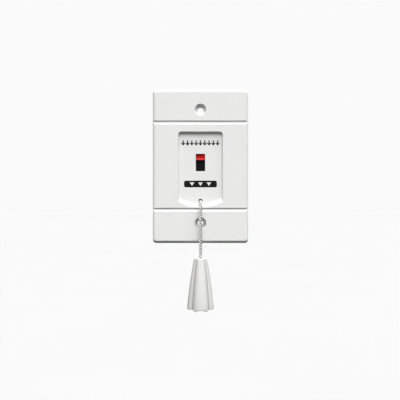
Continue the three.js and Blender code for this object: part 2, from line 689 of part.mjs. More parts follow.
place("wall_plate", wallPlate(), WHITE);
place("red_lug", redLug(), RED);
place("indicator_shutter", indicatorShutter(), BLACK);
place("slide_carriage", slideCarriage(), BLACK);
for (const [side, x] of [["left", -TERMINAL.x], ["right", TERMINAL.x]]) {
  place(`bridging_contact_${side}`, bridgingContact(x), COPPER);
  place(`contact_spring_${side}`, contactSpring(x), STEEL);
}
place("switch_frame", switchFrame(), STEEL);
place("switch_base", switchBase(), PHENOLIC);
terminalPlaces().forEach((spot) => place(spot.name, switchTerminal(spot), BRASS));
place("circuit_board", circuitBoard(), BOARD_GREEN);
screwPlaces().forEach((spot) => place(spot.name, boardScrew(spot), STEEL));
place("terminal_block", terminalBlock(), BLOCK_GREEN);
for (const spot of blockPlaces()) {
  place(`wire_clamp_${spot.name}`, wireClamp(spot), BRASS);
  place(`clamp_screw_${spot.name}`, clampScrew(spot), STEEL);
}
place("cord_guide", cordGuide(), DARK_NYLON);
place("cord_ferrule", cordFerrule(), BRASS);
place("inner_cord", innerCord(), CORD_WHITE);
place("cord_bend", cordBend(), CORD_WHITE);
place("pull_cord", pullCord(), CORD_WHITE);
place("pendant", pendantBell(), PENDANT_WHITE);
place("pendant_knot", pendantKnot(), CORD_WHITE);

export default group;
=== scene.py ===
"""A pull cord switch: a single-gang wall station with a hanging cord, dressed around its CAD frame.

Sizes here are in millimetres and repeat those of the CAD; every mesh is made in metres in its frame.
The origin is on the wall plane at the middle of the plate, +Z is up and the front faces -Y.
"""

import math

import bpy
import numpy as np
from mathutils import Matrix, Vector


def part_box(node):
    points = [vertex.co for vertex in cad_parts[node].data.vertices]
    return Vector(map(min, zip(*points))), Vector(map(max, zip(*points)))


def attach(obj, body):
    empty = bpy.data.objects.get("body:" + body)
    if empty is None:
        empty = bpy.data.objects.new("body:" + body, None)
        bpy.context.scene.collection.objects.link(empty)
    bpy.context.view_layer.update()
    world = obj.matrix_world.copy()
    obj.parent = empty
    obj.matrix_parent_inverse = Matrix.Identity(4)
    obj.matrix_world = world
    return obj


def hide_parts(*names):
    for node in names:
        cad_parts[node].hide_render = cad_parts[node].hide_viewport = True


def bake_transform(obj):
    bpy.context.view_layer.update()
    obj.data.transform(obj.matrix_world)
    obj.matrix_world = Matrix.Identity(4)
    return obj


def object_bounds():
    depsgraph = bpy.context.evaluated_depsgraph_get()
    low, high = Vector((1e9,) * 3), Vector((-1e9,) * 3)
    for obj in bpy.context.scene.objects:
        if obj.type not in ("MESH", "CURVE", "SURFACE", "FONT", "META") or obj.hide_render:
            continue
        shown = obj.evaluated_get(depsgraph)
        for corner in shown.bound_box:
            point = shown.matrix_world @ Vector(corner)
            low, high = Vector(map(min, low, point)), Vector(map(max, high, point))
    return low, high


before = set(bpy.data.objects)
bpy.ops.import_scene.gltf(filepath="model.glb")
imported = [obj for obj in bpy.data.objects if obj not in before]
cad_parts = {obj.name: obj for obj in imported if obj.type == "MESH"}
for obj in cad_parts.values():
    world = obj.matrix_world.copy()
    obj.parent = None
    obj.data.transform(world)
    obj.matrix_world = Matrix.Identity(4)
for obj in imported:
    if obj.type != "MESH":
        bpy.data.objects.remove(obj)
cad_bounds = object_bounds()

MM = 0.001
CLEARANCE = 0.3  # between neighbouring pieces

# ---- sizes shared with the CAD ----
PLATE_WIDTH, PLATE_HEIGHT, PLATE_DEPTH = 70.0, 112.7, 8.5
PLATE_CORNER, PLATE_WALL = 2.4, 2.3
EDGES = {"side": (2.2, 2.2), "top": (2.0, 2.0), "bottom": (2.2, 3.8)}  # run inwards, drop from the face
GROOVES = ((33.45, 30.85), (-30.6, -33.2))  # each from its step to the end of its cove
GROOVE_DEPTH, GROOVE_DRAFT = 0.9, 0.1
SCREW_SPACING, SCREW_RADIUS = 83.34, 2.05
BORE_RADIUS, BORE_FLOOR, BORE_DEPTHS, BORE_DISH, BOSS_RADIUS = 4.2, 3.9, (5.0, 2.8), 0.4, 5.6
RECESS_HALF, RECESS_TOP, RECESS_BOTTOM, RECESS_ARC = 16.4, 25.4, -29.9, 33.2
RECESS_CORNER, RECESS_DEPTH, RECESS_FLOOR = 2.4, 2.5, 2.0
RECESS_RUNS = {"side": 0.95, "top": 1.55, "bottom": 2.8}
WINDOW_WIDTH, WINDOW_HEIGHT, WINDOW_CENTRE = 6.8, 12.7, 2.8
TRAVEL, STEM_Z = 7.5, 6.2
LUG_WIDTH, LUG_HEIGHT, LUG_SCOOP, LUG_Z = 6.2, 4.1, 0.7, 6.8
SOCKET_HALF_WIDTH, SOCKET_HALF_HEIGHT = 1.9, 1.0
SHUTTER_HALF, SHUTTER_LOW, SHUTTER_HIGH = 5.5, -4.5, 17.0
POST_X, POST_Z, POST_RADIUS, PILOT_RADIUS, PILOT_DEPTH = 13.8, (-16.6, 26.6), 2.9, 1.25, 8.0
BOARD_Y = (8.3, 9.9)
TERMINAL_X, TERMINAL_Z = 3.4, (9.95, 2.45, -5.05)
PIN_X = (-5.08, 0.0, 5.08)
CORD_RADIUS, CORD_BEND, INNER_Y = 1.25, 5.0, 1.4
HOLE_RADIUS, HOLE_Z, EXIT_Z = 1.8, -25.7, -26.15
GUIDE_RADIUS, GUIDE_REAR = 4.0, -2.2
BELL_TOP, BELL_HEIGHT, BELL_TOP_RADIUS, BELL_LOW_RADIUS = -67.2, 38.3, 4.65, 9.75
BELL_BULGE, BELL_WALL, BELL_ROOF, BELL_HOLE = 0.55, 1.1, 2.4, 1.55
LOBES, LOBE_TURN, LOBE_WIDENING, LOBE_CROWN = 4, 2.0, 4.0, 4.0
LOBE_VALLEY, LOBE_INNER_VALLEY = 0.285, 0.25
LOBE_SOFTNESS = 0.010  # how far a valley's line is rounded, in radians
CREASE_DEPTH, CREASE_AT, CREASE_WIDTH = 0.010, 14.5, 4.5  # share of the radius, then degrees from a crown
PAINTED_GROOVE_SHADE = 0.74  # painted shade: the share of the pendant's colour that is left in the valleys, where the grooves' shadow falls
PAINTED_SHADE_START = -0.80  # where the painted shade starts, as the cosine of the turn times the lobes
LOBE_LIFT, SIDE_LIFT, SIDE_FROM, TIP_AT, TIP_WIDTH, MOUTH_BEND = 1.0, 1.3, (38.0, 50.0), 22.5, 8.0, 4
KNOT_RADIUS, KNOT_HEIGHT = 2.8, 4.4

FRONT_Y = -PLATE_DEPTH
FLOOR_Y = FRONT_Y + RECESS_DEPTH
FLOOR_REAR_Y = FLOOR_Y + RECESS_FLOOR
SHUTTER_Y = FLOOR_REAR_Y + CLEARANCE
CORD_Y = FLOOR_Y + CLEARANCE - CORD_BEND
HANG_Z = EXIT_Z - CORD_BEND
POST_END = BOARD_Y[0] - CLEARANCE


# ---- camera, light and floor ----
DISTANCE = 600.0  # from the camera to the plate's outline
FRAME_WIDTH = 294.4  # seen at that distance
SENSOR_WIDTH = 36.0
OUTLINE_Y = -6.3
CAMERA_X, CAMERA_Z = -0.33, -24.7  # from the plate's middle
BACKDROP = 0.956
DOME_LOW, DOME_HIGH = 0.03, 0.30
LIGHT_SPREAD = 50
LIGHTS = (  # degrees round from the front towards +X, degrees up, strength
    (-40, 52, 0.38), (0, 30, 0.24), (0, 55, 0.36), (40, 50, 0.66), (85, 42, 0.20),
    (-85, 40, 0.06), (-135, 35, 0.16), (135, 35, 0.24), (180, 38, 0.26),
)
FLOOR_SHADE = 0.477


def make_camera():
    low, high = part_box("wall_plate")
    middle = (low + high) / 2
    data = bpy.data.cameras.new("camera")
    data.sensor_width = SENSOR_WIDTH
    data.lens = data.sensor_width * DISTANCE / FRAME_WIDTH
    data.clip_start, data.clip_end = 0.01, 50.0
    camera = bpy.data.objects.new("camera", data)
    camera.location = (middle.x + CAMERA_X * MM, (OUTLINE_Y - DISTANCE) * MM, middle.z + CAMERA_Z * MM)
    camera.rotation_euler = (math.radians(90), 0, 0)
    bpy.context.scene.collection.objects.link(camera)
    bpy.context.scene.camera = camera


def arc(x, z, radius, start, end, steps):
    angles = np.radians(np.linspace(start, end, steps + 1))
    return np.column_stack((x + radius * np.cos(angles), z + radius * np.sin(angles)))


def ring_at_y(outline, y):
    return np.column_stack((outline[:, 0], np.full(len(outline), y), outline[:, 1]))


def loft(rings, closed=False):
    """A skin over rings of equal length, with flat ends unless the last ring joins the first."""
    count, total = len(rings[0]), len(rings)
    faces = []
    for i in range(total if closed else total - 1):
        low, high = i * count, ((i + 1) % total) * count
        for j in range(count):
            k = (j + 1) % count
            faces.append((low + j, high + j, high + k, low + k))
    if not closed:
        faces.append(tuple(range(count)))
        faces.append(tuple((total - 1) * count + j for j in reversed(range(count))))
    return np.vstack(rings), faces


def make(name, shape):
    points, faces = shape
    mesh = bpy.data.meshes.new(name)
    mesh.from_pydata((np.asarray(points) * MM).tolist(), [], faces)
    mesh.update()
    obj = bpy.data.objects.new(name, mesh)
    bpy.context.scene.collection.objects.link(obj)
    return obj


def combine(obj, others, operation):
    """Applies the other solids to obj one after another, and removes them."""
    for other in others:
        modifier = obj.modifiers.new("solid", "BOOLEAN")
        modifier.operation = operation
        modifier.solver = "MANIFOLD"
        modifier.object = other
    graph = bpy.context.evaluated_depsgraph_get()
    mesh = bpy.data.meshes.new_from_object(obj.evaluated_get(graph))
    obj.modifiers.clear()
    obj.data = mesh
    for other in others:
        bpy.data.objects.remove(other)


def smooth(obj, angle=32, weighted=True):
    obj.data.shade_smooth()
    obj.data.set_sharp_from_angle(angle=math.radians(angle))
    if weighted:
        modifier = obj.modifiers.new("normals", "WEIGHTED_NORMAL")
        modifier.keep_sharp = True


# ---- materials ----
class Nodes:
    """Builds one procedural material: a Principled surface fed by noise in the piece's own space."""

    def __init__(self, name):
        self.material = bpy.data.materials.new(name)
        self.material.use_nodes = True
        self.tree = self.material.node_tree
        self.surface = self.tree.nodes["Principled BSDF"]
        self.coordinates = self.tree.nodes.new("ShaderNodeTexCoord").outputs["Object"]

    def set(self, **sockets):
        for name, value in sockets.items():
            self.surface.inputs[name.replace("_", " ")].default_value = value

    def noise(self, scale, detail=2.0, stretch=(1, 1, 1)):
        mapping = self.tree.nodes.new("ShaderNodeMapping")
        mapping.inputs["Scale"].default_value = stretch
        self.tree.links.new(self.coordinates, mapping.inputs["Vector"])
        noise = self.tree.nodes.new("ShaderNodeTexNoise")
        noise.inputs["Scale"].default_value = scale
        noise.inputs["Detail"].default_value = detail
        self.tree.links.new(mapping.outputs["Vector"], noise.inputs["Vector"])
        return noise.outputs["Fac"]

    def remap(self, value, low, high, start=0.3, end=0.7):
        remap = self.tree.nodes.new("ShaderNodeMapRange")
        remap.inputs["From Min"].default_value = start
        remap.inputs["From Max"].default_value = end
        remap.inputs["To Min"].default_value = low
        remap.inputs["To Max"].default_value = high
        self.tree.links.new(value, remap.inputs["Value"])
        return remap.outputs["Result"]

    def colours(self, value, first, second):
        mix = self.tree.nodes.new("ShaderNodeMix")
        mix.data_type = "RGBA"
        mix.inputs["A"].default_value = (*first, 1)
        mix.inputs["B"].default_value = (*second, 1)
        self.tree.links.new(value, mix.inputs["Factor"])
        self.tree.links.new(mix.outputs["Result"], self.surface.inputs["Base Color"])

    def darken(self, value, share):
        """Takes the base colour down to that share of itself where value is 1."""
        mix = self.tree.nodes.new("ShaderNodeMix")
        mix.data_type, mix.blend_type = "RGBA", "MULTIPLY"
        mix.inputs["B"].default_value = (share, share, share, 1)
        colour = self.surface.inputs["Base Color"]
        self.tree.links.new(colour.links[0].from_socket, mix.inputs["A"])
        self.tree.links.new(value, mix.inputs["Factor"])
        self.tree.links.new(mix.outputs["Result"], colour)

    def math(self, operation, first, second=0.0):
        node = self.tree.nodes.new("ShaderNodeMath")
        node.operation = operation
        for socket, value in zip(node.inputs, (first, second)):
            if isinstance(value, float):
                socket.default_value = value
            else:
                self.tree.links.new(value, socket)
        return node.outputs["Value"]

    def roughness(self, value):
        self.tree.links.new(value, self.surface.inputs["Roughness"])

    def bump(self, value, height):
        """Adds a relief of that height in millimetres under any that is there already."""
        bump = self.tree.nodes.new("ShaderNodeBump")
        bump.inputs["Distance"].default_value = height * MM
        self.tree.links.new(value, bump.inputs["Height"])
        normal = self.surface.inputs["Normal"]
        if normal.is_linked:
            self.tree.links.new(normal.links[0].from_socket, bump.inputs["Normal"])
        self.tree.links.new(bump.outputs["Normal"], normal)


def shades(colour, spread):
    return [tuple(min(1.0, channel * share) for channel in colour) for share in (1 - spread, 1 + spread)]


def plastic_nodes(name, colour, rough, spread=0.012, grain=0.006, flow=0.02, **sockets):
    """Moulded plastic: eroded-mould grain, faint flow marks and cloudy gloss."""
    nodes = Nodes(name)
    nodes.set(**sockets)
    nodes.colours(nodes.remap(nodes.noise(90, 3), 0, 1), *shades(colour, spread))
    nodes.roughness(nodes.remap(nodes.noise(420, 4), rough - 0.05, rough + 0.05))
    nodes.bump(nodes.noise(3600, 3), grain)
    nodes.bump(nodes.noise(60, 1, (1, 1, 0.4)), flow)
    return nodes


def plastic(*args, **sockets):
    return plastic_nodes(*args, **sockets).material


def pendant_material():
    """White plastic, with painted shade darkening the four valleys between the lobes."""
    nodes = plastic_nodes("pendant_abs", (0.65, 0.65, 0.64), 0.36)
    place = nodes.tree.nodes.new("ShaderNodeSeparateXYZ")
    nodes.tree.links.new(nodes.coordinates, place.inputs["Vector"])
    forward = nodes.math("SUBTRACT", CORD_Y * MM, place.outputs["Y"])
    turn = nodes.math("ARCTAN2", place.outputs["X"], forward)
    turn = nodes.math("SUBTRACT", turn, math.radians(LOBE_TURN))
    twice = nodes.math("SINE", nodes.math("MULTIPLY", turn, 2.0))
    evened = nodes.math("SUBTRACT", turn, nodes.math("MULTIPLY", twice, math.radians(LOBE_WIDENING)))
    across = nodes.math("COSINE", nodes.math("MULTIPLY", evened, float(LOBES)))
    # Painted shade: the base colour is taken down in the valleys, standing in for the shadow in the grooves.
    nodes.darken(nodes.remap(across, 0, 1, start=PAINTED_SHADE_START, end=-1.0), PAINTED_GROOVE_SHADE)
    return nodes.material


def metal(name, colour, rough, stretch=(1, 1, 1), spread=0.06, grain=0.004):
    """Bare or plated metal: rolling marks along one axis, tarnish and small scratches."""
    nodes = Nodes(name)
    nodes.set(Metallic=1.0)
    nodes.colours(nodes.remap(nodes.noise(260, 4), 0, 1), *shades(colour, spread))
    nodes.roughness(nodes.remap(nodes.noise(900, 4, stretch), rough - 0.08, rough + 0.1))
    nodes.bump(nodes.noise(5200, 2, stretch), grain)
    return nodes.material


def board_material():
    """Solder mask over glass cloth: the weave shows faintly through the green."""
    nodes = Nodes("board_mask")
    nodes.set(Coat_Weight=0.35, Coat_Roughness=0.18)
    nodes.colours(nodes.remap(nodes.noise(150, 3), 0, 1), *shades((0.014, 0.105, 0.045), 0.22))
    nodes.roughness(nodes.remap(nodes.noise(500, 3), 0.34, 0.48))
    nodes.bump(nodes.noise(1100, 1, (1, 1, 0.18)), 0.01)
    nodes.bump(nodes.noise(1100, 1, (0.18, 1, 1)), 0.01)
    return nodes.material


def phenolic_material():
    """Paper laminate: brown, fibrous, with a punched sheen."""
    nodes = Nodes("paper_laminate")
    nodes.colours(nodes.remap(nodes.noise(700, 5, (1, 1, 0.25)), 0, 1), *shades((0.19, 0.075, 0.026), 0.3))
    nodes.roughness(nodes.remap(nodes.noise(900, 3), 0.42, 0.6))
    nodes.bump(nodes.noise(2600, 4, (1, 1, 0.2)), 0.012)
    return nodes.material


def cord_material():
    """Spun polyester: fine filaments, a soft sheen and a slightly uneven tone."""
    nodes = Nodes("spun_cord")
    nodes.set(Sheen_Weight=0.05, Sheen_Roughness=0.4, Specular_IOR_Level=0.2)
    nodes.colours(nodes.remap(nodes.noise(1500, 4), 0, 1), *shades((0.58, 0.575, 0.565), 0.05))
    nodes.roughness(nodes.remap(nodes.noise(2500, 3), 0.62, 0.8))
    nodes.bump(nodes.noise(6500, 3, (1, 1, 0.35)), 0.03)
    return nodes.material


def ink_material():
    """Pad-printed ink: thin, nearly black, a little uneven where the pad lifted."""
    nodes = Nodes("printed_ink")
    nodes.colours(nodes.remap(nodes.noise(900, 4), 0, 1), (0.003, 0.003, 0.003), (0.008, 0.008, 0.008))
    nodes.set(Specular_IOR_Level=0.15)
    nodes.roughness(nodes.remap(nodes.noise(1500, 3), 0.4, 0.55))
    nodes.bump(nodes.noise(3000, 2), 0.004)
    return nodes.material


# ---- wall plate ----
def rounded_rectangle(x0, x1, z0, z1, radius, steps=8):
    return np.vstack((
        arc(x1 - radius, z0 + radius, radius, -90, 0, steps),
        arc(x1 - radius, z1 - radius, radius, 0, 90, steps),
        arc(x0 + radius, z1 - radius, radius, 90, 180, steps),
        arc(x0 + radius, z0 + radius, radius, 180, 270, steps),
    ))


def round_inset(depth, edge):
    """How far a quarter-ellipse edge stands in from the side, at a depth below the face."""
    run, drop = edge
    return 0 if depth >= drop else run * (1 - math.sqrt(1 - (1 - depth / drop) ** 2))


def pillow(x, z, y, edges, corner, steps=16):
    """A block whose front edges are rounded differently at its sides, top and bottom."""
    most = max(drop for run, drop in edges.values())
    rings = []
    for i in range(steps + 1):
        depth = most * (1 - math.cos(i / steps * math.pi / 2))
        side = round_inset(depth, edges["side"])
        top = z[1] - round_inset(depth, edges["top"])
        bottom = z[0] + round_inset(depth, edges["bottom"])
        outline = rounded_rectangle(x[0] + side, x[1] - side, bottom, top, max(0.4, corner - side * 0.6))
        rings.append(ring_at_y(outline, y[0] + depth))
    rings.append(ring_at_y(rounded_rectangle(*x, *z, corner), y[1]))
    return make("solid", loft(rings))


def edge_round(radius, steps):
    """Rows of (outwards, inwards) along a small quarter round, from its outer end to its inner end."""
    angles = np.linspace(0, math.pi / 2, steps)
    return [(radius * (1 - math.sin(a)), radius * (1 - math.cos(a))) for a in angles]


def box(x, y, z, radius=0.25):
    outline = rounded_rectangle(*x, *z, radius, 3)
    return make("solid", loft([ring_at_y(outline, value) for value in y]))


def turned(profile, x, z, sides=64):
    """A round solid along Y from rows of (radius, y), front first."""
    end = 360 - 360 / sides
    return make("solid", loft([ring_at_y(arc(x, z, radius, 0, end, sides - 1), y) for radius, y in profile]))


def recess_outline(share, grow):
    half = RECESS_HALF - RECESS_RUNS["side"] * share + grow
    top = RECESS_TOP - RECESS_RUNS["top"] * share + grow
    radius = RECESS_ARC - RECESS_RUNS["bottom"] * share + grow
    centre = RECESS_BOTTOM + RECESS_ARC
    fillet = 1.3
    fillet_x = half - fillet
    fillet_z = centre - math.sqrt((radius - fillet) ** 2 - fillet_x**2)
    reach = math.degrees(math.atan2(fillet_z - centre, fillet_x))
    corner = RECESS_CORNER * (1 - 0.3 * share) + grow
    return np.vstack((
        arc(0, centre, radius, -180 - reach, reach, 40),
        arc(fillet_x, fillet_z, fillet, reach, 0, 8),
        arc(half - corner, top - corner, corner, 0, 90, 14),
        arc(-half + corner, top - corner, corner, 90, 180, 14),
        arc(-fillet_x, fillet_z, fillet, 180, 180 - reach, 8),
    ))


def recess_cutter():
    rim, steps = 0.3, 18
    rings = [ring_at_y(recess_outline(0, rim), FRONT_Y - 1)]
    for grow, depth in edge_round(rim, 6):
        rings.append(ring_at_y(recess_outline(0, grow), FRONT_Y + depth))
    for i in range(1, steps + 1):
        t = math.sin(i / steps * math.pi / 2)
        share = 0.4 * t + 0.6 * (1 - math.sqrt(max(0.0, 1 - t * t)))
        rings.append(ring_at_y(recess_outline(share, 0), FRONT_Y + rim + (RECESS_DEPTH - rim) * t))
    return make("solid", loft(rings))


def window_cutter():
    half, low, high = WINDOW_WIDTH / 2, WINDOW_CENTRE - WINDOW_HEIGHT / 2, WINDOW_CENTRE + WINDOW_HEIGHT / 2
    rim, corner = 0.25, 0.35
    rows = [(rim, FLOOR_Y - 1)]
    rows += [(grow, FLOOR_Y + depth) for grow, depth in edge_round(rim, 5)]
    rows.append((0, FLOOR_REAR_Y + 1))
    rings = []
    for grow, y in rows:
        outline = rounded_rectangle(-half - grow, half + grow, low - grow, high + grow, corner + grow, 5)
        rings.append(ring_at_y(outline, y))
    return make("solid", loft(rings))


def screw_hole_cutter(z, depth):
    rim, floor = 0.2, FRONT_Y + depth
    return turned([
        (BORE_RADIUS + rim, FRONT_Y - 1),
        (BORE_RADIUS + rim, FRONT_Y),
        (BORE_RADIUS + rim * 0.3, FRONT_Y + rim * 0.3),
        (BORE_RADIUS, FRONT_Y + rim),
        (BORE_FLOOR, floor - 0.3),
        (BORE_FLOOR - 0.1, floor - 0.1),
        (BORE_FLOOR - 0.3, floor),
        (SCREW_RADIUS + 0.15, floor + BORE_DISH - 0.1),
        (SCREW_RADIUS, floor + BORE_DISH + 0.1),
        (SCREW_RADIUS, 1),
    ], 0, z)


def groove_cutter(step_z, cove_z):
    """A cutter along X: a step with a small round at its edge, then a cove that rises to the face."""
    rim, foot = 0.22, step_z - GROOVE_DRAFT
    outline = [(FRONT_Y - 1, cove_z)]
    for angle in np.linspace(math.pi / 2, 0, 25):
        outline.append((FRONT_Y + GROOVE_DEPTH * math.cos(angle), foot + (cove_z - foot) * math.sin(angle)))
    for depth, out in edge_round(rim, 5):
        outline.append((FRONT_Y + depth, step_z + out))
    outline.append((FRONT_Y - 1, step_z + rim))
    rows = np.array(outline)
    reach = PLATE_WIDTH / 2 + 1
    return make("solid", loft([np.column_stack((np.full(len(rows), x), rows)) for x in (reach, -reach)]))


def plate_front():
    half = PLATE_HEIGHT / 2
    front = pillow((-PLATE_WIDTH / 2, PLATE_WIDTH / 2), (-half, half), (FRONT_Y, 0), EDGES, PLATE_CORNER)
    combine(front, [groove_cutter(*groove) for groove in GROOVES], "DIFFERENCE")
    return front


def plate_rear():
    """The block behind the recess, the screw bosses, the posts, the shutter's rails and the ribs."""
    inner = FRONT_Y + PLATE_WALL - 0.2
    shallow = (inner, -2.0)
    block_half, margin, rib_start, rib_half = 18.6, 2.2, 18, 0.6
    block_z = (RECESS_BOTTOM - margin, RECESS_TOP + margin)
    solids = [box((-block_half, block_half), (inner, FLOOR_REAR_Y), block_z, 2.0)]
    for z in (-SCREW_SPACING / 2, SCREW_SPACING / 2):
        solids.append(turned([(BOSS_RADIUS, inner), (BOSS_RADIUS, 0)], 0, z))
    for z in POST_Z:
        for x in (-POST_X, POST_X):
            solids.append(turned([(POST_RADIUS, inner), (POST_RADIUS, POST_END)], x, z, 40))
    rail_y = (FLOOR_REAR_Y - 0.5, -2.3)
    rail_z = (SHUTTER_LOW - TRAVEL - 1, SHUTTER_HIGH + 1)
    for side in (-1, 1):
        rail_x = sorted((side * (SHUTTER_HALF + CLEARANCE), side * (SHUTTER_HALF + 1.5)))
        solids.append(box(rail_x, rail_y, rail_z, 0.2))
        rib_x = sorted((side * rib_start, side * (PLATE_WIDTH / 2 - 1)))
        for z in (-18, 4, 22):
            solids.append(box(rib_x, shallow, (z - rib_half, z + rib_half), 0.15))
        ends = (SCREW_SPACING / 2 + BOSS_RADIUS - 1, PLATE_HEIGHT / 2 - 1)
        solids.append(box((-rib_half, rib_half), shallow, sorted(side * end for end in ends), 0.15))
    ring = GUIDE_RADIUS + 1.4
    solids.append(turned([(ring, FLOOR_REAR_Y - 0.5), (ring, GUIDE_REAR)], 0, EXIT_Z))
    return solids


def wall_plate():
    plate = plate_front()
    plate.name = "plate_moulding"
    side, end = PLATE_WIDTH / 2 - PLATE_WALL, PLATE_HEIGHT / 2 - PLATE_WALL
    combine(plate, [box((-side, side), (FRONT_Y + PLATE_WALL, 1), (-end, end), 1.2)], "DIFFERENCE")
    combine(plate, plate_rear(), "UNION")
    cutters = [recess_cutter(), window_cutter()]
    screw_z = (-SCREW_SPACING / 2, SCREW_SPACING / 2)
    cutters += [screw_hole_cutter(z, depth) for z, depth in zip(screw_z, BORE_DEPTHS)]
    rim = 0.2
    cutters.append(turned([
        (HOLE_RADIUS + rim, FLOOR_Y - 1),
        (HOLE_RADIUS + rim, FLOOR_Y),
        (HOLE_RADIUS + rim * 0.3, FLOOR_Y + rim * 0.3),
        (HOLE_RADIUS, FLOOR_Y + rim),
        (HOLE_RADIUS, FLOOR_REAR_Y + 1),
    ], 0, HOLE_Z, 48))
    seat = GUIDE_RADIUS + 0.15
    cutters.append(turned([(seat, FLOOR_REAR_Y), (seat, 0)], 0, EXIT_Z))
    pilot = [
        (PILOT_RADIUS, POST_END - PILOT_DEPTH),
        (PILOT_RADIUS, POST_END - 0.35),
        (PILOT_RADIUS + 0.4, POST_END),
        (PILOT_RADIUS + 0.4, POST_END + 1),
    ]
    cutters += [turned(pilot, x, z, 32) for z in POST_Z for x in (-POST_X, POST_X)]
    combine(plate, cutters, "DIFFERENCE")
    return plate


# ---- lug and printed marks ----
def lug_cap():
    x, z = (-LUG_WIDTH / 2, LUG_WIDTH / 2), (LUG_Z - LUG_HEIGHT / 2, LUG_Z + LUG_HEIGHT / 2)
    y = (FLOOR_Y + 0.4, SHUTTER_Y - 0.15)
    lug = pillow(x, z, y, {"side": (0.3, 0.3), "top": (0.4, 0.4), "bottom": (0.4, 0.4)}, 0.4)
    lug.name = "lug_cap"
    radius = (LUG_HEIGHT**2 / 4 + LUG_SCOOP**2) / (2 * LUG_SCOOP)
    circle = arc(y[0] + LUG_SCOOP - radius, LUG_Z, radius, 0, 360 - 2.5, 143)
    rings = [np.column_stack((np.full(len(circle), value), circle)) for value in (LUG_WIDTH, -LUG_WIDTH)]
    scoop = make("solid", loft(rings))
    socket = box(
        (-SOCKET_HALF_WIDTH, SOCKET_HALF_WIDTH), (y[1] - 0.6, y[1] + 1),
        (STEM_Z - SOCKET_HALF_HEIGHT, STEM_Z + SOCKET_HALF_HEIGHT), 0.1,
    )
    combine(lug, [scoop, socket], "DIFFERENCE")
    return lug


def slab(outline, thickness=0.04):
    """A thin printed layer on the recess's floor, sunk a hair into it."""
    return ring_at_y(np.array(outline), FLOOR_Y - thickness), ring_at_y(np.array(outline), FLOOR_Y + 0.01)


def merge(shapes):
    points, faces, base = [], [], 0
    for shape_points, shape_faces in shapes:
        points.append(shape_points)
        faces += [tuple(index + base for index in face) for face in shape_faces]
        base += len(shape_points)
    return np.vstack(points), faces


def arrow(x, z, width, height, stem, stroke):
    """A small arrow that points down, anticlockwise from its tip."""
    slope, half, shaft = 1.05, width / 2, stem / 2
    barb = z + half * slope
    inner, top = z + stroke + shaft * slope, z + height
    right = [(half, barb), (half, barb + stroke), (shaft, inner), (shaft, top)]
    return [
        (x, z),
        *((x + across, up) for across, up in right),
        *((x - across, up) for across, up in reversed(right)),
    ]


def mark_row():
    """Nine small arrows, which say that the cord is pulled down."""
    count, pitch, centre = 9, 3.17, 17.3
    width, height, stem, stroke = 2.6, 3.8, 0.85, 1.05
    places = [(i - (count - 1) / 2) * pitch for i in range(count)]
    arrows = [arrow(x, centre - height / 2, width, height, stem, stroke) for x in places]
    return make("mark_row", merge([loft(slab(outline)) for outline in arrows]))


def mark_bar():
    """A plain dark bar with three triangles left open in it."""
    half_width, half_height, centre, corner = 12.1, 2.45, -12.9, 1.3
    low, high = centre - half_height, centre + half_height
    outline = rounded_rectangle(-half_width, half_width, low, high, corner, 8)
    bar = make("mark_bar", loft(slab(outline)))
    pitch, half_base, below, above = 6.2, 1.75, 1.35, 1.2
    for x in (-pitch, 0, pitch):
        triangle = [(x, centre - below), (x + half_base, centre + above), (x - half_base, centre + above)]
        rings = [ring_at_y(np.array(triangle), FLOOR_Y + y) for y in (-1, 1)]
        combine(bar, [make("solid", loft(rings))], "DIFFERENCE")
    return bar


# ---- cord ----
STRANDS, STRAND_OFFSET, STRAND_RADIUS, STRAND_PITCH = 2, 0.60, 0.74, 4.1
YARNS, YARN_PITCH, YARN_DEPTH = 6, 2.6, 0.035


def densify(corners, step):
    """Points at an even step along a polyline, with the distance of each from its start."""
    corners = np.array(corners, float)
    lengths = np.concatenate(([0], np.cumsum(np.linalg.norm(np.diff(corners, axis=0), axis=1))))
    along = np.linspace(0, lengths[-1], max(2, int(round(lengths[-1] / step)) + 1))
    return np.column_stack([np.interp(along, lengths, corners[:, k]) for k in range(corners.shape[1])]), along


def twisted(name, path, start, step=0.12, sides=60):
    """Two strands laid round each other along a path of points, start being its distance along the cord."""
    points, along = densify(path, step)
    tangents = np.gradient(points, axis=0)
    tangents /= np.linalg.norm(tangents, axis=1)[:, None]
    side = np.cross(tangents, np.cross((1.0, 0, 0), tangents))
    side /= np.linalg.norm(side, axis=1)[:, None]
    other = np.cross(side, tangents)
    around = np.linspace(0, 2 * math.pi, sides, endpoint=False)
    lobe = 2 * math.pi / STRANDS
    rings = []
    for centre, s, u, v in zip(points, along + start, side, other):
        off = around - 2 * math.pi * s / STRAND_PITCH
        off = (off + lobe / 2) % lobe - lobe / 2
        reach = STRAND_OFFSET * np.cos(off) + np.sqrt(STRAND_RADIUS**2 - (STRAND_OFFSET * np.sin(off)) ** 2)
        local = np.arctan2(reach * np.sin(off), reach * np.cos(off) - STRAND_OFFSET)
        yarn = np.abs(np.sin(YARNS / 2 * (local - 2 * math.pi * s / YARN_PITCH / YARNS * 2)))
        reach -= YARN_DEPTH * (1 - yarn)
        rings.append(centre + reach[:, None] * (np.cos(around)[:, None] * u + np.sin(around)[:, None] * v))
    return make(name, loft(rings[::-1]))


def quarter(y, z, start, end, steps=24):
    return [(0, point[0], point[1]) for point in arc(y, z, CORD_BEND, start, end, steps)]


def metres(points):
    return [tuple(value * MM for value in point) for point in points]


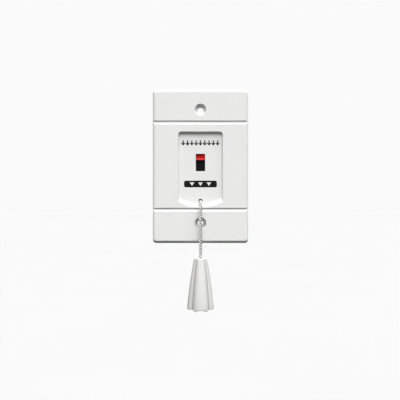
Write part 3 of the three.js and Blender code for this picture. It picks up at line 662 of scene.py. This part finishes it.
def make_cords(material):
    """One cord in three lengths: behind the plate, over the lip of the hole and straight down to the knot."""
    join = (0, -5.05, EXIT_Z)
    inner_path = [(0, INNER_Y, -0.8), *quarter(INNER_Y - CORD_BEND, EXIT_Z + CORD_BEND, 0, -90), join]
    lip_path = [join, *quarter(CORD_Y + CORD_BEND, HANG_Z, 90, 180)]
    hang_end = BELL_TOP - BELL_ROOF - 2 * CLEARANCE
    hang_path = [(0, CORD_Y, z) for z in np.linspace(HANG_Z, hang_end, 24)]
    inner_length = densify(inner_path, 0.5)[1][-1]
    lip_length = densify(lip_path, 0.5)[1][-1]
    inner = twisted("cord_inside", inner_path, 0, 0.25, 32)
    lip = twisted("cord_over_lip", lip_path, inner_length)
    hanging = twisted("cord_hanging", hang_path, inner_length + lip_length)
    knot = stopper_knot()
    for piece in (inner, lip, hanging, knot):
        piece.data.materials.append(material)
        piece.data.shade_smooth()
    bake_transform(inner)
    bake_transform(lip)
    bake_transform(hanging)
    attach(knot, "cord_end")
    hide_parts("inner_cord")
    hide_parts("cord_bend")
    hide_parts("pull_cord")
    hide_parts("pendant_knot")
    return lip, hanging, knot, metres(hang_path)


def stopper_knot():
    """The end of the cord, wound twice round itself and drawn tight, with a short tail."""
    wrap, turns = 0.78, 1.9
    top = BELL_TOP - BELL_ROOF - 0.9
    middle = top - KNOT_HEIGHT / 2
    coil = KNOT_RADIUS - wrap
    reach = KNOT_HEIGHT / 2 - wrap
    angles = np.linspace(0, turns * 2 * math.pi, 80)
    heights = np.linspace(reach, -reach, 80)
    path = [(coil * math.cos(a), CORD_Y + coil * math.sin(a), middle + h) for a, h in zip(angles, heights)]
    outer = tube_shape(path, wrap, 20)
    core_path = [(0, CORD_Y, z) for z in (top + 0.25, middle, top - KNOT_HEIGHT)]
    core = tube_shape(core_path, CORD_RADIUS - 0.05, 24)
    return make("stopper_knot", merge([outer, core]))


def tube_shape(path, radius, sides):
    points, along = densify(path, 0.25)
    tangents = np.gradient(points, axis=0)
    tangents /= np.linalg.norm(tangents, axis=1)[:, None]
    up = np.array((0.0, 0.3, 1.0)) if abs(tangents[0][2]) < 0.9 else np.array((1.0, 0, 0))
    around = np.linspace(0, 2 * math.pi, sides, endpoint=False)
    rings = []
    for centre, s, tangent in zip(points, along, tangents):
        u = np.cross(tangent, up)
        u /= np.linalg.norm(u)
        v = np.cross(u, tangent)
        end = min(s, along[-1] - s)
        taper = 1 if end > radius * 0.5 else 0.6 + 0.4 * math.sin(end / (radius * 0.5) * math.pi / 2)
        ripple = radius * taper * (1 - 0.05 * (1 - np.abs(np.sin(3 * around + s * 1.7))))
        rings.append(centre + ripple[:, None] * (np.cos(around)[:, None] * u + np.sin(around)[:, None] * v))
    return loft(rings[::-1])


# ---- pendant ----
BELL_AROUND = 192


def bell_radius(share):
    early = BELL_BULGE * math.sin(share * math.pi / 2)
    return BELL_TOP_RADIUS + (BELL_LOW_RADIUS - BELL_TOP_RADIUS) * (early + (1 - BELL_BULGE) * share)


def lobe_reach(around, depth):
    """How far the lobed outline reaches, as a share of its radius, with a soft valley and a faint crease."""
    step = 2 * math.pi / LOBES
    off = around - step * np.round(around / step)
    valley = step / 2
    eased = valley - np.sqrt((valley - np.abs(off)) ** 2 + LOBE_SOFTNESS**2)
    crease = np.exp(-(((off - math.radians(CREASE_AT)) / math.radians(CREASE_WIDTH)) ** 2))
    return 1 - depth * (np.maximum(eased, 0) / valley) ** LOBE_CROWN - CREASE_DEPTH * crease


def mouth_lift(around):
    """How far the mouth's edge stands above its four tips."""
    off = np.degrees(np.abs(np.arcsin(np.sin(around))))
    tip = np.exp(-(((off - TIP_AT) / TIP_WIDTH) ** 2))
    beside = np.clip((off - SIDE_FROM[0]) / (SIDE_FROM[1] - SIDE_FROM[0]), 0, 1)
    level = LOBE_LIFT + (SIDE_LIFT - LOBE_LIFT) * beside * beside * (3 - 2 * beside)
    return level * (1 - tip)


def bell_ring(share, inset, z, circle=0.0, hole=0.0):
    """A ring of the bell, or one between it and a circle of radius hole."""
    around = np.linspace(0, 2 * math.pi, BELL_AROUND, endpoint=False)
    depth = np.interp(inset, (0, BELL_WALL), (LOBE_VALLEY, LOBE_INNER_VALLEY))
    lobed = bell_radius(share) * lobe_reach(around, depth) - inset
    reach = lobed * (1 - circle) + hole * circle
    angle = around + np.radians(LOBE_TURN - 90 + LOBE_WIDENING * np.sin(2 * around))
    lift = mouth_lift(around) * share**MOUTH_BEND
    return np.column_stack((reach * np.cos(angle), CORD_Y + reach * np.sin(angle), z + lift))


def bell():
    shoulder, rim, edge = 0.75, BELL_WALL / 2, 0.2
    bottom = BELL_TOP - BELL_HEIGHT
    rings = []
    for drop, out in edge_round(edge, 4):
        rings.append(bell_ring(0, 0, BELL_TOP - drop, 1, BELL_HOLE + out))
    for circle in (0.66, 0.33):
        rings.append(bell_ring(0, shoulder, BELL_TOP, circle, BELL_HOLE + edge))
    for a in np.linspace(0, math.pi / 2, 7):
        depth = shoulder * (1 - math.cos(a))
        rings.append(bell_ring(depth / BELL_HEIGHT, shoulder * (1 - math.sin(a)), BELL_TOP - depth))
    for share in np.linspace(shoulder / BELL_HEIGHT, 1 - rim / BELL_HEIGHT, 56)[1:]:
        rings.append(bell_ring(share, 0, BELL_TOP - BELL_HEIGHT * share))
    for a in np.linspace(0, math.pi, 11)[1:]:
        depth = rim * (1 - math.sin(a))
        rings.append(bell_ring(1 - depth / BELL_HEIGHT, rim * (1 - math.cos(a)), bottom + depth))
    under = BELL_TOP - BELL_ROOF
    roof, fillet = BELL_ROOF / BELL_HEIGHT, 0.6
    for share in np.linspace(1 - rim / BELL_HEIGHT, (BELL_ROOF + fillet) / BELL_HEIGHT, 40)[1:]:
        rings.append(bell_ring(share, BELL_WALL, BELL_TOP - BELL_HEIGHT * share))
    for drop, inwards in edge_round(fillet, 4)[1:]:
        rings.append(bell_ring(roof, BELL_WALL + inwards, under - drop))
    rings.append(bell_ring(roof, BELL_WALL + fillet, under, 0.5, BELL_HOLE + edge))
    for rise, out in reversed(edge_round(edge, 4)):
        rings.append(bell_ring(0, 0, under + rise, 1, BELL_HOLE + out))
    return make("pendant_bell", loft(rings[::-1], closed=True))


# ---- circuit board's solder and tracks ----
def solder_joints():
    """A small cone of solder round each terminal's tail, from rows of (radius, height over the board)."""
    profile = ((1.15, -0.01), (1.12, 0.06), (0.86, 0.3), (0.66, 0.7), (0.56, 1.0))
    sides = 24
    shapes = []
    for z in TERMINAL_Z:
        for x in (-TERMINAL_X, TERMINAL_X):
            circles = [arc(x, z, radius, 0, 360 - 360 / sides, sides - 1) for radius, height in profile]
            heights = [BOARD_Y[1] + height for radius, height in profile]
            shapes.append(loft([ring_at_y(circle, y) for circle, y in zip(circles, heights)]))
    return make("solder_joints", merge(shapes))


def strip(points, width, y0, y1):
    """A flat band along level and upright runs, as one closed slab for each run."""
    shapes = []
    for (ax, az), (bx, bz) in zip(points, points[1:]):
        x0, x1 = min(ax, bx) - width / 2, max(ax, bx) + width / 2
        z0, z1 = min(az, bz) - width / 2, max(az, bz) + width / 2
        outline = rounded_rectangle(x0, x1, z0, z1, width / 2 - 0.01, 5)
        shapes.append(loft([ring_at_y(outline, y0), ring_at_y(outline, y1)]))
    return shapes


def board_tracks():
    y = (BOARD_Y[1] - 0.01, BOARD_Y[1] + 0.04)
    shapes = []
    runs = [
        [(-TERMINAL_X, TERMINAL_Z[0]), (-9.6, TERMINAL_Z[0]), (-9.6, -5.2), (PIN_X[0], -5.2)],
        [(-TERMINAL_X, TERMINAL_Z[2]), (-TERMINAL_X, -6.3)],
        [(0, -6.3), (0, 6.2), (-TERMINAL_X, 6.2), (-TERMINAL_X, TERMINAL_Z[1])],
        [(TERMINAL_X, TERMINAL_Z[0]), (9.6, TERMINAL_Z[0]), (9.6, -5.2), (PIN_X[2], -5.2)],
        [(TERMINAL_X, TERMINAL_Z[1]), (7.2, TERMINAL_Z[1]), (7.2, 6.3)],
        [(TERMINAL_X, TERMINAL_Z[2]), (TERMINAL_X, 0)],
    ]
    for i, run in enumerate(runs):
        shapes += strip(run, 1.3, y[0], y[1] + 0.002 * i)
    return make("board_tracks", merge(shapes))


# ---- assembly ----
def dress(name, material, bevel=0.1, angle=35):
    """Gives a CAD node its material and, in modifiers only, softened edges."""
    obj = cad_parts[name]
    for material_slot in obj.material_slots:
        material_slot.material = material
    obj.data.shade_smooth()
    weld = obj.modifiers.new("weld", "WELD")
    weld.merge_threshold = 1e-6
    if bevel:
        modifier = obj.modifiers.new("bevel", "BEVEL")
        modifier.width = bevel * MM
        modifier.segments = 2
        modifier.limit_method = "ANGLE"
        modifier.angle_limit = math.radians(angle)
    obj.modifiers.new("normals", "WEIGHTED_NORMAL")


def finish_piece(obj, material, body, slot, *nodes, angle=32, weighted=True):
    obj.data.materials.clear()
    obj.data.materials.append(material)
    smooth(obj, angle, weighted)
    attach(obj, body)
    if nodes:
        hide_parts(*nodes)


def make_world():
    """A pale backdrop for the camera, and for reflections a dome that is bright overhead and dim below."""
    world = bpy.data.worlds.new("studio")
    bpy.context.scene.world = world
    world.use_nodes = True
    nodes, links = world.node_tree.nodes, world.node_tree.links
    nodes.clear()
    coordinates = nodes.new("ShaderNodeTexCoord")
    split = nodes.new("ShaderNodeSeparateXYZ")
    links.new(coordinates.outputs["Generated"], split.inputs["Vector"])
    height = nodes.new("ShaderNodeMapRange")
    height.interpolation_type = "SMOOTHSTEP"
    for socket, value in (("From Min", -0.1), ("From Max", 0.6), ("To Min", DOME_LOW), ("To Max", DOME_HIGH)):
        height.inputs[socket].default_value = value
    links.new(split.outputs["Z"], height.inputs["Value"])
    dome = nodes.new("ShaderNodeBackground")
    links.new(height.outputs["Result"], dome.inputs["Strength"])
    seen = nodes.new("ShaderNodeBackground")
    seen.inputs["Color"].default_value = (BACKDROP, BACKDROP, BACKDROP, 1)
    path = nodes.new("ShaderNodeLightPath")
    mix = nodes.new("ShaderNodeMixShader")
    links.new(path.outputs["Is Camera Ray"], mix.inputs["Fac"])
    links.new(dome.outputs["Background"], mix.inputs[1])
    links.new(seen.outputs["Background"], mix.inputs[2])
    output = nodes.new("ShaderNodeOutputWorld")
    links.new(mix.outputs["Shader"], output.inputs["Surface"])


def make_lights():
    """Very soft lights all round, most of them from above the front."""
    for number, (azimuth, elevation, strength) in enumerate(LIGHTS):
        data = bpy.data.lights.new(f"softbox_{number}", "SUN")
        data.angle = math.radians(LIGHT_SPREAD)
        data.energy = strength * math.pi
        light = bpy.data.objects.new(data.name, data)
        light.rotation_euler = (math.radians(90 - elevation), 0, math.radians(azimuth))
        bpy.context.scene.collection.objects.link(light)


def make_floor():
    """A plain pale floor, well below the object, that doesn't throw light back at it."""
    low, high = cad_bounds
    middle, level, reach = (low + high) / 2, low.z - 0.34, 30.0
    corners = [(-reach, -reach), (reach, -reach), (reach, reach), (-reach, reach)]
    mesh = bpy.data.meshes.new("floor")
    mesh.from_pydata([(middle.x + x, middle.y + y, level) for x, y in corners], [], [(0, 1, 2, 3)])
    floor = bpy.data.objects.new("floor", mesh)
    bpy.context.scene.collection.objects.link(floor)
    nodes = Nodes("pale_floor")
    nodes.colours(nodes.remap(nodes.noise(3, 2), 0, 1), *shades((FLOOR_SHADE,) * 3, 0.004))
    nodes.set(Roughness=0.9, Specular_IOR_Level=0.0)
    mesh.materials.append(nodes.material)
    floor.visible_diffuse = False
    floor.visible_glossy = False


def make_all():
    make_camera()
    cord = cord_material()
    lip, hanging, knot, path = make_cords(cord)
    pendant = bell()
    white = plastic("plate_abs", (0.77, 0.77, 0.765), 0.42, Specular_IOR_Level=0.4)
    bell_white = pendant_material()
    red = plastic("lug_red", (0.50, 0.010, 0.008), 0.42, 0.05, Specular_IOR_Level=0.15)
    black = plastic("black_acetal", (0.004, 0.004, 0.004), 0.45, 0.3, Specular_IOR_Level=0.1)
    finish_piece(pendant, bell_white, "pendant", "pendant_plastic", "pendant", angle=50, weighted=False)
    finish_piece(wall_plate(), white, "root", "plate_plastic", "wall_plate")
    finish_piece(lug_cap(), red, "slider", "red_plastic", "red_lug")
    ink = ink_material()
    for mark in (mark_row(), mark_bar()):
        finish_piece(mark, ink, "root", "black_plastic")
    steel = metal("frame_steel", (0.55, 0.56, 0.58), 0.34, (1, 1, 0.1))
    screw_steel = metal("screw_zinc", (0.62, 0.62, 0.6), 0.3)
    brass = metal("clamp_brass", (0.72, 0.52, 0.24), 0.28, (1, 0.2, 1))
    tin = metal("tinned_solder", (0.66, 0.67, 0.69), 0.24)
    copper = metal("contact_copper", (0.8, 0.43, 0.27), 0.25, (1, 1, 0.15))
    block = plastic("block_polyamide", (0.025, 0.24, 0.075), 0.45, 0.06)
    # Black nylon: partly the guide's colour and partly painted shade, darkening the cord hole as its deep
    # shadow would.
    nylon = plastic("guide_nylon", (0.012, 0.012, 0.012), 0.4, 0.2)
    board = board_material()
    finish_piece(solder_joints(), tin, "root", "tin", weighted=False)
    tracks = plastic("track_mask", (0.03, 0.17, 0.07), 0.35, 0.1, Coat_Weight=0.4, Coat_Roughness=0.15)
    finish_piece(board_tracks(), tracks, "root", "board")
    dress("indicator_shutter", black)
    dress("slide_carriage", black)
    dress("switch_frame", steel, 0.12)
    dress("switch_base", phenolic_material())
    dress("circuit_board", board)
    dress("terminal_block", block, 0.2)
    dress("cord_guide", nylon, 0.15)
    dress("cord_ferrule", brass, 0.15)
    for side in ("left", "right"):
        dress(f"bridging_contact_{side}", copper, 0.05)
        dress(f"contact_spring_{side}", screw_steel, 0)
        for level in ("upper", "middle", "lower"):
            dress(f"terminal_{level}_{side}", tin, 0.06)
        for level in ("lower", "upper"):
            dress(f"board_screw_{level}_{side}", screw_steel, 0.12)
    for number in (1, 2, 3):
        dress(f"wire_clamp_{number}", brass, 0.1)
        dress(f"clamp_screw_{number}", screw_steel, 0.1)
    make_world()
    make_lights()
    make_floor()


make_all()
view = bpy.context.scene.view_settings
view.view_transform = "Standard"
